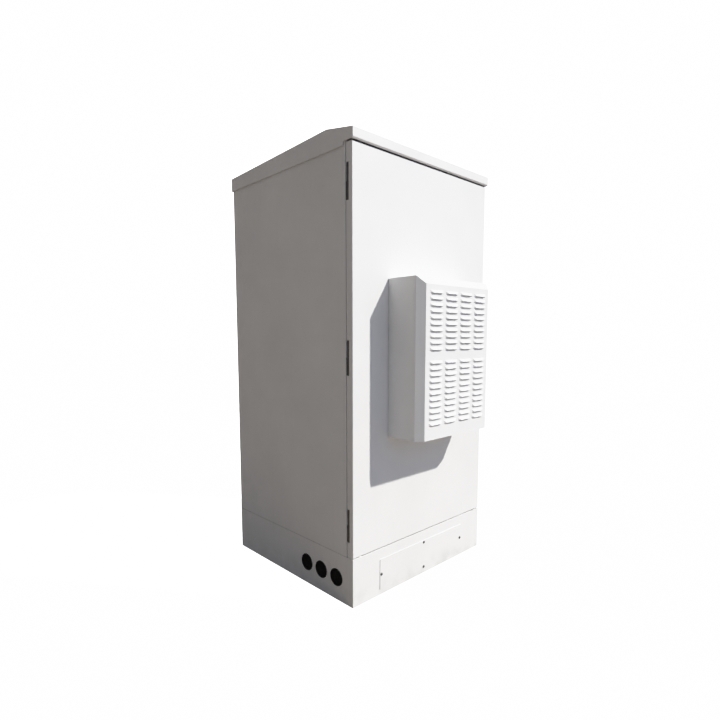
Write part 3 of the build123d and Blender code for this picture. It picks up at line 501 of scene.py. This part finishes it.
def seal_surface():
    """D section: width along the loop's normal, depth towards the frame as a half ellipse."""
    half = (seal_high - seal_low) / 2 - seal_width / 2
    loop, normals = rounded_loop(half[0], half[2], seal_corner, seal_corner_steps)
    around = np.linspace(0.0, np.pi, seal_round_steps)
    glued = np.array([-seal_glue_share, seal_glue_share])
    aside = np.concatenate([np.cos(around), glued]) * seal_width / 2
    deep = np.concatenate([np.sin(around), np.zeros_like(glued)]) * seal_depth
    flat = loop[:, None, :] + aside[None, :, None] * normals[:, None, :]
    middle = (seal_low + seal_high) / 2
    y = np.broadcast_to(seal_low[1] + deep[None, :], flat.shape[:2])
    return np.stack([flat[..., 0] + middle[0], y, flat[..., 1] + middle[2]], axis=-1)


seal = piece(
    "door_seal", [seal_surface()], "door", "black_rubber", close_rows=True, close_columns=True
)
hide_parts("door_gasket")

# %% [markdown]
# ## Key cylinder
# Below the lever's hub the handle plate carries a lock. Its face is a turned disc with a bevelled
# rim, and the keyway is a groove pressed into it along one line across the middle.

# %% Key cylinder
lock_radius = 0.010
lock_rise = 0.002
lock_above_foot = 0.028
lock_bevel = 0.1
lock_flat_reach = 0.84
lock_flat_rings = 21
lock_flat = np.linspace(0.0, lock_flat_reach, lock_flat_rings)
lock_rings = np.concatenate([lock_flat, [1.0 - lock_bevel, 1.0]])
lock_steps = 96
keyway_half = 0.0011
keyway_slope = 0.0004
keyway_reach = 0.55 * lock_radius
keyway_depth = 0.9 * lock_rise
plate_low, plate_high = corners_of("handle_base")


def key_cylinder(spot):
    """Disc of constant height with a sloped rim, sunk where a point is near the keyway line."""
    radius = lock_rings[:, None]
    angle = np.linspace(0.0, 2 * np.pi, lock_steps, endpoint=False)[None, :]
    x = lock_radius * radius * np.cos(angle)
    z = lock_radius * radius * np.sin(angle)
    rim = np.clip((1.0 - radius) / lock_bevel, 0.0, 1.0)
    groove = np.clip((keyway_half - np.abs(x)) / keyway_slope, 0.0, 1.0)
    groove = groove * (np.abs(z) < keyway_reach)
    foot = np.zeros((1, lock_steps))
    height = np.concatenate([lock_rise * rim - keyway_depth * groove, foot])
    x = np.concatenate([x, foot])
    z = np.concatenate([z, foot])
    return np.stack([spot[0] + x, spot[1] - height, spot[2] + z], axis=-1)


lock_spot = ((plate_low[0] + plate_high[0]) / 2, plate_low[1], plate_low[2] + lock_above_foot)
piece("key_cylinder", [key_cylinder(lock_spot)], "door", "bare_aluminium", close_columns=True)

# %% [markdown]
# ## Dark screen behind the louvres: painted shade
# A black sheet behind the louvres is drawn as a fine insect mesh, and it darkens the louvres'
# openings as painted shade. It is clamped to the back of the cover's front sheet. Its weave is
# too fine to show, so it is one thin sheet that bows a little between its fixings, and Solidify
# gives it a thickness.

# %% Dark screen behind the louvres, painted shade
louvre_stand = 0.006
cover_sheet = 0.0015
screen_gap = 0.0004
screen_half = 0.178
screen_foot = 0.035
screen_head = 0.045
screen_thickness = 0.0004
screen_columns = 46
screen_rows = 62
bow_depth = 0.0006
bows_across = 3
bows_up = 4


def screen_sheet():
    """Sheet behind the front, bowed inwards by the square of a product of two sines."""
    across = np.linspace(0.0, 1.0, screen_columns)[None, :]
    up = np.linspace(0.0, 1.0, screen_rows)[:, None]
    bow = bow_depth * (np.sin(np.pi * bows_across * across) * np.sin(np.pi * bows_up * up)) ** 2
    foot, head = unit_low[2] + screen_foot, unit_high[2] - screen_head
    x = screen_half * (2 * across - 1)
    y = unit_low[1] + louvre_stand + cover_sheet + screen_gap + bow
    z = foot + (head - foot) * up
    return np.stack(np.broadcast_arrays(x, y, z), axis=-1)


# A black sheet behind the louvres: painted shade in their openings, drawn as an insect mesh.
screen = piece("louvre_painted_shade_screen", [screen_sheet()], "door", "dark_plastic")
sheet = screen.modifiers.new("thickness", "SOLIDIFY")
sheet.thickness = screen_thickness
sheet.offset = 0.0

# %% [markdown]
# ## Camera
# The picture was taken from the front left, a little above half height, with a wide lens. The
# place and angle come from fitting the cabinet's own edges to the picture.

# %% Camera
picture_size = 720
focal_pixels = 498.9
optical_centre = (339.5, 386.8)
camera_place = Vector((-1.5766, -1.6044, 0.9738))
yaw, pitch, roll = 0.7371, 0.1013, -0.0049

ahead = Vector((np.sin(yaw) * np.cos(pitch), np.cos(yaw) * np.cos(pitch), -np.sin(pitch)))
right = Vector((np.cos(yaw), -np.sin(yaw), 0.0))
upward = right.cross(ahead)
rolled_right = np.cos(roll) * right + np.sin(roll) * upward
rolled_up = -np.sin(roll) * right + np.cos(roll) * upward
camera_turn = Matrix((rolled_right, rolled_up, -ahead)).transposed().to_4x4()
camera_data = bpy.data.cameras.new("camera")
camera_data.lens = focal_pixels / picture_size * camera_data.sensor_width
camera_data.shift_x = (picture_size / 2 - optical_centre[0]) / picture_size
camera_data.shift_y = (optical_centre[1] - picture_size / 2) / picture_size
camera = bpy.data.objects.new("camera", camera_data)
camera.matrix_world = Matrix.Translation(camera_place) @ camera_turn
bpy.context.collection.objects.link(camera)
bpy.context.scene.camera = camera
print("lens", round(camera_data.lens, 2))

# %% [markdown]
# ## Floor and ground card
# A large pale floor glows a little, so that it runs into the white surround without an edge.
# Light that the real ground would throw back comes from a warm grey card just under it, which
# the camera doesn't see. The floor itself is hidden from bounced light, so the two don't add up.

# %% Floor and ground card
floor_reach = 40.0
floor_greys = ((0.3, (0.86, 0.86, 0.86)), (0.7, (0.90, 0.90, 0.90)))
floor_glow = 1.7
card_reach = 12.0
card_glow = 0.0
card_drop = -0.002
card_browns = ((0.3, (0.215, 0.173, 0.132)), (0.7, (0.253, 0.21, 0.165)))
ground_mottle = 2.0
ground_roughness = 0.9


def ground_finish(name, colours, glow):
    """Dull surface with a barely visible mottle, and a glow of its own."""
    material, tree, shader, place = new_finish(name)
    colour = ramp(tree, noise(tree, place, ground_mottle), colours)
    tree.links.new(colour, shader.inputs["Base Color"])
    tree.links.new(colour, shader.inputs["Emission Color"])
    shader.inputs["Emission Strength"].default_value = glow
    shader.inputs["Roughness"].default_value = ground_roughness
    return material


def level_square(name, reach, height, material):
    """Level square of half-side reach."""
    mesh = bpy.data.meshes.new(name)
    corners = np.array([(-1, -1), (1, -1), (1, 1), (-1, 1)]) * reach
    mesh.from_pydata([(x, y, height) for x, y in corners], [], [(0, 1, 2, 3)])
    mesh.materials.append(material)
    made = bpy.data.objects.new(name, mesh)
    bpy.context.collection.objects.link(made)
    return made


pale_floor = ground_finish("pale_floor", floor_greys, floor_glow)
floor = level_square("floor", floor_reach, 0.0, pale_floor)
floor.visible_diffuse = False
floor.visible_glossy = False
floor.visible_shadow = False
brown_card = ground_finish("ground_card", card_browns, card_glow)
card = level_square("ground_card", card_reach, card_drop, brown_card)
card.visible_camera = False
print("floor half-side", floor_reach)

# %% [markdown]
# ## Lamps and sky
# One strong lamp from the front right throws the cooling unit's shadow down to the left of it.
# A weak wide lamp from behind keeps the back readable. The sky fills the shade: it is cooler and
# brighter in front, so its colour follows how far a direction points that way. The camera itself
# sees plain white behind the cabinet.

# %% Lamps and sky
sun_strength = 4.2
sun_colour = (1.0, 0.965, 0.915)
sun_disc = 1.6
sun_travel = (-0.76, 1.0, -1.16)
fill_strength = 1.4
fill_colour = (1.0, 1.0, 1.0)
fill_disc = 30.0
fill_travel = (-0.35, -1.0, -0.2)
sky_front = (0.45, -0.89, 0.0)
sky_opposite = -1.0
sky_colours = ((0.3, (0.178, 0.170, 0.163)), (1.0, (0.43, 0.53, 0.72)))
surround_white = (1.0, 1.0, 1.0, 1.0)
surround_strength = 2.5


def lamp(name, energy, colour, disc_degrees, travel):
    """Parallel light that travels along a direction, softened by the angle of its disc."""
    data = bpy.data.lights.new(name, "SUN")
    data.energy = energy
    data.color = colour
    data.angle = np.radians(disc_degrees)
    made = bpy.data.objects.new(name, data)
    made.rotation_mode = "QUATERNION"
    made.rotation_quaternion = Vector(travel).to_track_quat("-Z", "Y")
    bpy.context.collection.objects.link(made)


lamp("sun", sun_strength, sun_colour, sun_disc, sun_travel)
lamp("back_fill", fill_strength, fill_colour, fill_disc, fill_travel)

world = bpy.data.worlds.new("surround")
bpy.context.scene.world = world
world.use_nodes = True
sky = world.node_tree
direction = sky.nodes.new("ShaderNodeTexCoord")
towards = sky.nodes.new("ShaderNodeVectorMath")
towards.operation = "DOT_PRODUCT"
towards.inputs[1].default_value = sky_front
sky.links.new(direction.outputs["Generated"], towards.inputs[0])
nearness = sky.nodes.new("ShaderNodeMapRange")
nearness.inputs["From Min"].default_value = sky_opposite
sky.links.new(towards.outputs["Value"], nearness.inputs["Value"])
fill = sky.nodes["Background"]
sky.links.new(ramp(sky, nearness.outputs["Result"], sky_colours), fill.inputs["Color"])
seen = sky.nodes.new("ShaderNodeBackground")
seen.inputs["Color"].default_value = surround_white
seen.inputs["Strength"].default_value = surround_strength
ray = sky.nodes.new("ShaderNodeLightPath")
choose = sky.nodes.new("ShaderNodeMixShader")
sky.links.new(ray.outputs["Is Camera Ray"], choose.inputs["Fac"])
sky.links.new(fill.outputs["Background"], choose.inputs[1])
sky.links.new(seen.outputs["Background"], choose.inputs[2])
sky.links.new(choose.outputs["Shader"], sky.nodes["World Output"].inputs["Surface"])
print("lamps", len(bpy.data.lights), "sky nodes", len(sky.nodes))

# %% [markdown]
# ## Tones
# White sheet in full light is close to the brightest tone a picture can hold, and light bounced
# off the cooling unit's top would burn out the door above it. A camera bends its brightest tones
# gently towards white. The same bend is made here with a curve: light below about two thirds
# stays as it is, and what lies above is pressed together.

# %% Tones
brightest_light = 2.0
tone_bends = ((0.6, 0.6), (0.85, 0.845), (1.05, 0.93), (1.4, 0.982))
whole_curve = 3

tones = bpy.context.scene.view_settings
tones.view_transform = "Standard"
tones.use_curve_mapping = True
mapping = tones.curve_mapping
mapping.clip_max_x = brightest_light
curve = mapping.curves[whole_curve]
curve.points[1].location = (brightest_light, 1.0)
for light, shown in tone_bends:
    curve.points.new(light, shown)
mapping.update()
print("tone points", len(curve.points))
